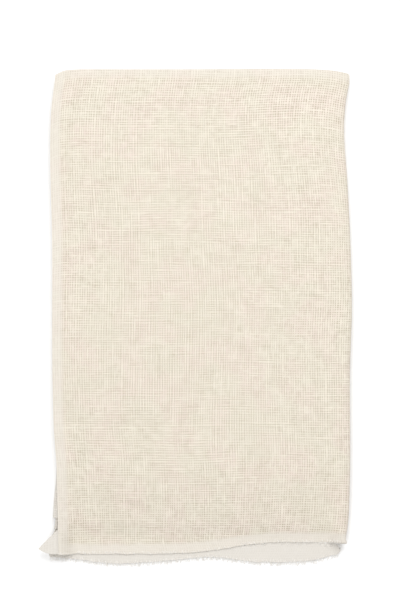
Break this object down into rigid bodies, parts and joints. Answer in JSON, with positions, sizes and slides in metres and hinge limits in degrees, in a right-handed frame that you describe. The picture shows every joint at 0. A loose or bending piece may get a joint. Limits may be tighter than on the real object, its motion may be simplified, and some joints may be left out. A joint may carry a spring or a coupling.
{
  "type": "folded triangular arm sling",
  "caption": "Triangular arm sling of loose unbleached cotton weave with raw fringed edges, folded flat into a long pack whose thirds open about upright folds.",
  "frame": {"origin": "centre of the pack's outline, on the surface that it lies on", "axes": "+X across the pack to the right as its front is seen, +Y up the pack to its top fold, +Z out of its front face"},
  "size_m": [0.1576, 0.249, 0.0081],
  "materials": {
    "cotton_cloth": "matte, open plain weave, unbleached",
    "selvage": "matte, close-set threads",
    "fringe": "matte, loose frayed threads"
  },
  "bodies": {
    "back_third": {"back_bottom_fold": "cotton_cloth", "back_fringe": "fringe", "back_lower_face": "cotton_cloth", "back_lower_side_end": "cotton_cloth", "back_side_fold_lower": "cotton_cloth", "back_side_fold_upper": "cotton_cloth", "back_top_fold_face": "cotton_cloth", "back_top_fold_side_end": "cotton_cloth", "back_upper_face": "cotton_cloth", "back_upper_side_end": "cotton_cloth", "back_upper_top_end": "cotton_cloth", "left_fold_lower_face": "cotton_cloth", "left_fold_lower_side_end": "cotton_cloth", "left_fold_upper_face": "cotton_cloth", "left_fold_upper_side_end": "cotton_cloth", "left_fold_upper_top_end": "cotton_cloth"},
    "middle_third": {"middle_bottom_fold": "cotton_cloth", "middle_fringe": "fringe", "middle_lower_face": "cotton_cloth", "middle_lower_side_end": "cotton_cloth", "middle_lower_top_end": "cotton_cloth", "middle_top_fold_face": "cotton_cloth", "middle_top_fold_side_end": "cotton_cloth", "middle_top_fold_top_end": "cotton_cloth", "middle_upper_face": "cotton_cloth", "middle_upper_side_end": "cotton_cloth", "middle_upper_top_end": "cotton_cloth", "right_fold_lower_face": "cotton_cloth", "right_fold_lower_side_end": "cotton_cloth", "right_fold_lower_top_end": "cotton_cloth", "right_fold_upper_face": "cotton_cloth", "right_fold_upper_top_end": "cotton_cloth"},
    "front_third": {"front_bottom_fold": "cotton_cloth", "front_fringe": "fringe", "front_lower_face": "cotton_cloth", "front_lower_selvage": "selvage", "front_lower_side_end": "cotton_cloth", "front_lower_top_end": "cotton_cloth", "front_top_fold_face": "cotton_cloth", "front_top_fold_top_end": "cotton_cloth", "front_upper_face": "cotton_cloth", "front_upper_selvage": "selvage", "front_upper_top_end": "cotton_cloth"}
  },
  "joints": [
    {"name": "left_fold", "type": "hinge", "parent": "back_third", "child": "middle_third", "pos_m": [-0.07037, 0, 0.00265], "axis": [0, -1, 0], "range_deg": [0, 180], "deforming": ["left_fold_lower_face", "left_fold_lower_side_end", "left_fold_upper_face", "left_fold_upper_side_end", "left_fold_upper_top_end"]},
    {"name": "right_fold", "type": "hinge", "parent": "middle_third", "child": "front_third", "pos_m": [0.07613, 0, 0.00545], "axis": [0, 1, 0], "range_deg": [0, 180], "deforming": ["right_fold_lower_face", "right_fold_lower_side_end", "right_fold_lower_top_end", "right_fold_upper_face", "right_fold_upper_top_end"]}
  ]
}
